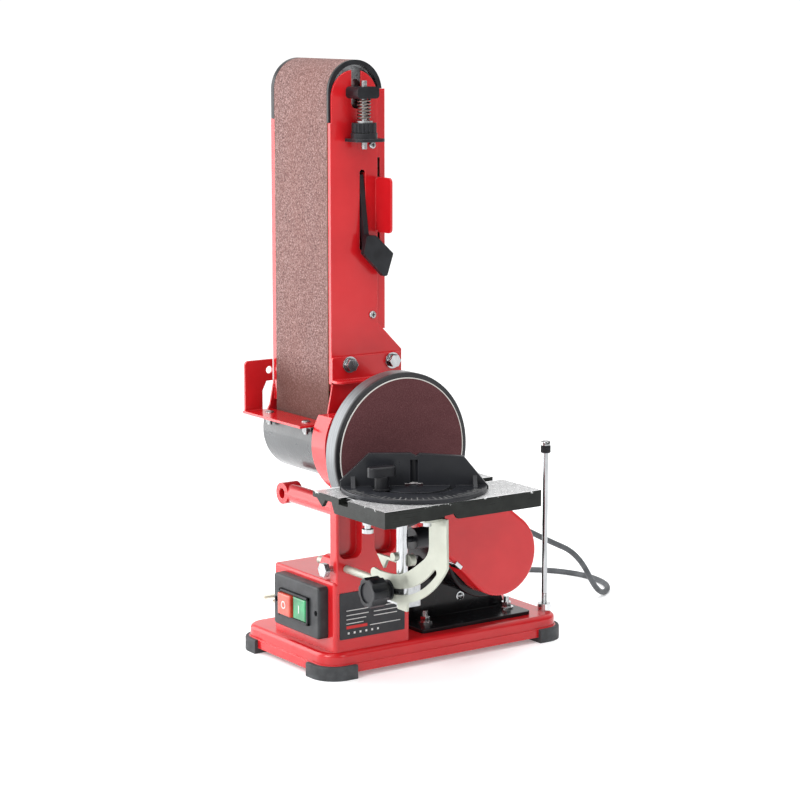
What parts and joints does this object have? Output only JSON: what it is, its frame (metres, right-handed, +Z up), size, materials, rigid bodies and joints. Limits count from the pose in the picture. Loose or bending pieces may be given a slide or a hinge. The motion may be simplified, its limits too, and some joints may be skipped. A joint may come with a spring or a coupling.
{
  "type": "belt disc sander",
  "caption": "Bench belt and disc sander: upright narrow belt on a swinging arm, disc with a grooved tilting table and mitre gauge, motor, covered drive, switch and stop rod on a flat base.",
  "frame": {"origin": "on the bench, under the middle of the near left rubber foot, the one at the switch and disc corner", "axes": "+X along the base to the right as the operator sees it, +Y away from the operator along the drive shaft, +Z up"},
  "size_m": [0.5607, 0.5325, 0.6353],
  "materials": {
    "red_paint": "gloss red enamel",
    "dark_paint": "dark grey hammered paint",
    "black_paint": "satin black paint",
    "black_plastic": "moulded black",
    "switch_plastic": "moulded dark grey",
    "red_plastic": "glossy red",
    "green_plastic": "glossy green",
    "plate_ink": "dark satin foil",
    "rubber": "moulded dark grey",
    "abrasive_belt": "cloth-backed brown grit",
    "abrasive_disc": "dark maroon grit",
    "cast_aluminium": "machined grooves",
    "disc_metal": "turned casting",
    "zinc": "cream zinc plating",
    "steel": "bright steel",
    "chrome": "polished",
    "spring_steel": "oiled spring wire",
    "cord_rubber": "dark grey sheath"
  },
  "bodies": {
    "machine_base": {"base_tray": "red_paint", "corner_feet": "rubber", "body_casting": "red_paint", "shaft_bearings": "steel", "switch_bezel": "switch_plastic", "switch_block": "black_plastic", "rating_plate": "plate_ink", "drive_cover": "red_paint", "cog_belt": "rubber", "motor_housing": "black_paint", "motor_front_bell": "black_paint", "motor_bracket": "black_paint", "base_nuts": "chrome", "stop_rod": "chrome", "rod_cap": "black_plastic", "cord_gland": "rubber", "mains_cord": "cord_rubber", "cord_coil": "cord_rubber", "mains_plug": "cord_rubber"},
    "stop_key": {"stop_button": "red_plastic"},
    "start_key": {"start_button": "green_plastic"},
    "bar_clamp_screw": {"bar_clamp": "steel"},
    "drive_line": {"drive_shaft": "steel", "disc_plate": "disc_metal", "sanding_disc": "abrasive_disc", "driven_pulley": "steel", "drive_drum": "cast_aluminium"},
    "motor_shaft": {"motor_rotor": "steel", "drive_pulley": "steel"},
    "belt_arm": {"arm_frame": "red_paint", "platen": "steel", "sanding_belt": "abrasive_belt", "rear_cover": "red_paint", "arm_screws": "steel", "pivot_bracket": "red_paint", "bracket_bolts": "chrome", "drum_cover": "dark_paint", "work_stop": "red_paint", "outer_bearing": "black_paint", "idler_guards": "black_plastic", "tracking_bracket": "black_paint", "tension_spring": "spring_steel"},
    "idler_slide": {"idler_carriage": "black_plastic", "idler_axle": "steel"},
    "idler_wheel": {"idler_roller": "cast_aluminium"},
    "tracking_adjuster": {"tracking_screw": "steel", "tracking_knob": "black_plastic"},
    "belt_lever": {"tension_lever": "black_plastic"},
    "table_support": {"support_bar": "zinc", "clamp_block": "cast_aluminium", "table_post": "zinc", "pointer": "zinc"},
    "tilting_table": {"sanding_table": "cast_aluminium", "tilt_quadrant": "zinc", "table_fasteners": "chrome"},
    "post_knob": {"table_knob": "black_plastic"},
    "tilt_clamp": {"tilt_knob": "black_plastic"},
    "mitre_slider": {"mitre_bar": "steel"},
    "mitre_fence": {"mitre_head": "black_paint"},
    "mitre_clamp": {"mitre_knob": "black_plastic"}
  },
  "joints": [
    {"name": "drive_spin", "type": "hinge", "parent": "machine_base", "child": "drive_line", "pos_m": [0.043, -0.011, 0.246], "axis": [0, 1, 0], "continuous": true},
    {"name": "motor_spin", "type": "hinge", "parent": "machine_base", "child": "motor_shaft", "pos_m": [0.1905, 0.032, 0.114], "axis": [0, 1, 0], "continuous": true},
    {"name": "arm_swing", "type": "hinge", "parent": "machine_base", "child": "belt_arm", "pos_m": [0.043, 0.016, 0.246], "axis": [0, 1, 0], "range_deg": [0, 90]},
    {"name": "idler_travel", "type": "slide", "parent": "belt_arm", "child": "idler_slide", "axis": [0, 0, 1], "range_m": [-0.008, 0], "stiffness_N_per_m": 200, "springref_m": 0.0332, "deforming": ["tension_spring"]},
    {"name": "idler_spin", "type": "hinge", "parent": "idler_slide", "child": "idler_wheel", "pos_m": [0.043, 0.07, 0.6028], "axis": [0, 1, 0], "continuous": true},
    {"name": "tracking_turn", "type": "hinge", "parent": "belt_arm", "child": "tracking_adjuster", "pos_m": [0.043, 0.0005, 0.566], "axis": [0, 0, 1], "range_deg": [-180, 180]},
    {"name": "lever_swing", "type": "hinge", "parent": "belt_arm", "child": "belt_lever", "pos_m": [0.0502, 0.022, 0.514], "axis": [-1, 0, 0], "range_deg": [0, 80]},
    {"name": "stop_press", "type": "slide", "parent": "machine_base", "child": "stop_key", "axis": [1, 0, 0], "range_m": [0, 0.0025], "stiffness_N_per_m": 400, "springref_m": -0.001},
    {"name": "start_press", "type": "slide", "parent": "machine_base", "child": "start_key", "axis": [1, 0, 0], "range_m": [0, 0.0025], "stiffness_N_per_m": 400, "springref_m": -0.001},
    {"name": "bar_clamp_turn", "type": "hinge", "parent": "machine_base", "child": "bar_clamp_screw", "pos_m": [-0.002, 0.003, 0.1157], "axis": [1, 0, 0], "range_deg": [-180, 180]},
    {"name": "support_reach", "type": "slide", "parent": "machine_base", "child": "table_support", "axis": [0, -1, 0], "range_m": [0, 0.03]},
    {"name": "table_tilt", "type": "hinge", "parent": "table_support", "child": "tilting_table", "pos_m": [0.009, -0.096, 0.22], "axis": [1, 0, 0], "range_deg": [0, 45]},
    {"name": "post_knob_turn", "type": "hinge", "parent": "table_support", "child": "post_knob", "pos_m": [0.043, -0.104, 0.164], "axis": [1, 0, 0], "range_deg": [-180, 180]},
    {"name": "tilt_knob_turn", "type": "hinge", "parent": "table_support", "child": "tilt_clamp", "pos_m": [-0.007, -0.094, 0.113], "axis": [1, 0, 0], "range_deg": [-180, 180]},
    {"name": "mitre_travel", "type": "slide", "parent": "tilting_table", "child": "mitre_slider", "axis": [1, 0, 0], "range_m": [-0.02, 0.02]},
    {"name": "mitre_turn", "type": "hinge", "parent": "mitre_slider", "child": "mitre_fence", "pos_m": [0.017, -0.125, 0.222], "axis": [0, 0, 1], "range_deg": [-13, 6]},
    {"name": "mitre_knob_turn", "type": "hinge", "parent": "mitre_slider", "child": "mitre_clamp", "pos_m": [-0.0216, -0.125, 0.231], "axis": [0, 0, 1], "range_deg": [-180, 180]}
  ],
  "couplings": [
    {"joint": "motor_spin", "follows": "drive_spin", "ratio": 0.81818},
    {"joint": "idler_spin", "follows": "drive_spin", "ratio": 1},
    {"joint": "lever_swing", "follows": "idler_travel", "rad_per_m": -174.5}
  ]
}
